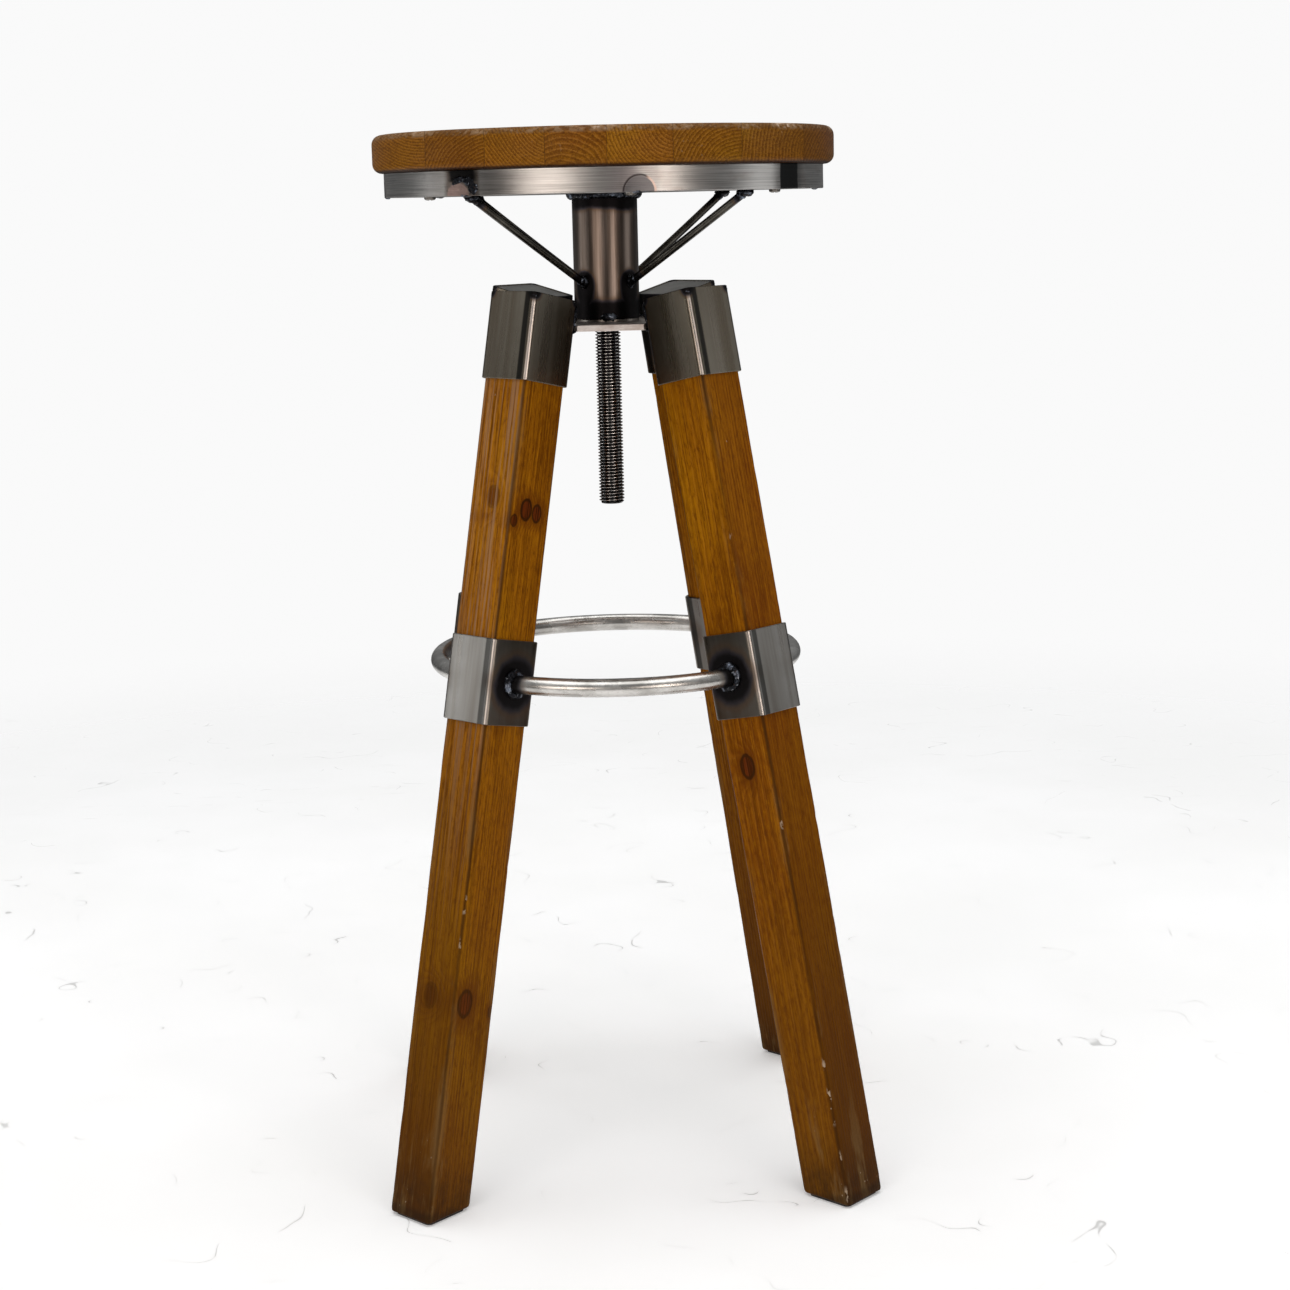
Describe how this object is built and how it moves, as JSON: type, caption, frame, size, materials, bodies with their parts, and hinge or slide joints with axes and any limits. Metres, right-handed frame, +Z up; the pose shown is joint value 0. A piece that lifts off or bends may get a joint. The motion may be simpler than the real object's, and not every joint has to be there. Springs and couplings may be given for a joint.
{
  "type": "screw-lift swivel bar stool",
  "caption": "Round wooden seat in a steel hoop that turns and rises on a central screw, on splayed square timber legs joined by steel caps and a round foot ring.",
  "frame": {"origin": "on the floor, below the axis of the lift screw, with the seat fully lowered", "axes": "+Z up along the lift screw; the legs stand on the diagonals of X and Y; the front faces -Y"},
  "size_m": [0.3778, 0.3778, 0.81],
  "materials": {
    "seat_pine": "stained pine, waxed",
    "leg_pine": "stained pine, waxed, worn at the feet",
    "dark_steel": "mill-scaled tube, clear lacquer",
    "raw_steel": "brushed, heat-tinted at the welds",
    "ring_steel": "bright satin tube",
    "screw_steel": "rolled thread, dark, oiled",
    "pad": "matt"
  },
  "bodies": {
    "base": {"hub_plate": "raw_steel", "lift_nut": "screw_steel", "leg_front_left": "leg_pine", "leg_cap_front_left": "dark_steel", "cap_plate_front_left": "dark_steel", "ring_sleeve_front_left": "dark_steel", "foot_pad_front_left": "pad", "leg_front_right": "leg_pine", "leg_cap_front_right": "dark_steel", "cap_plate_front_right": "dark_steel", "ring_sleeve_front_right": "dark_steel", "foot_pad_front_right": "pad", "leg_rear_right": "leg_pine", "leg_cap_rear_right": "dark_steel", "cap_plate_rear_right": "dark_steel", "ring_sleeve_rear_right": "dark_steel", "foot_pad_rear_right": "pad", "leg_rear_left": "leg_pine", "leg_cap_rear_left": "dark_steel", "cap_plate_rear_left": "dark_steel", "ring_sleeve_rear_left": "dark_steel", "foot_pad_rear_left": "pad", "foot_ring_front": "ring_steel", "foot_ring_right": "ring_steel", "foot_ring_rear": "ring_steel", "foot_ring_left": "ring_steel"},
    "lift_carriage": {"tube_end_ring": "raw_steel"},
    "seat": {"seat_stave_1": "seat_pine", "seat_stave_2": "seat_pine", "seat_stave_3": "seat_pine", "seat_stave_4": "seat_pine", "seat_stave_5": "seat_pine", "seat_stave_6": "seat_pine", "seat_stave_7": "seat_pine", "seat_stave_8": "seat_pine", "seat_hoop": "raw_steel", "seat_plate": "raw_steel", "seat_screws": "raw_steel", "centre_tube": "raw_steel", "gusset_rod_front_left": "raw_steel", "gusset_rod_front_right": "raw_steel", "gusset_rod_rear_right": "raw_steel", "gusset_rod_rear_left": "raw_steel", "lift_screw": "screw_steel"}
  },
  "joints": [
    {"name": "seat_lift", "type": "slide", "parent": "base", "child": "lift_carriage", "axis": [0, 0, 1], "range_m": [0, 0.1375]},
    {"name": "seat_turn", "type": "hinge", "parent": "lift_carriage", "child": "seat", "pos_m": [0, 0, 0.665], "axis": [0, 0, 1], "range_deg": [0, 19800]}
  ],
  "couplings": [
    {"joint": "seat_lift", "follows": "seat_turn", "m_per_rad": 0.00039789}
  ]
}
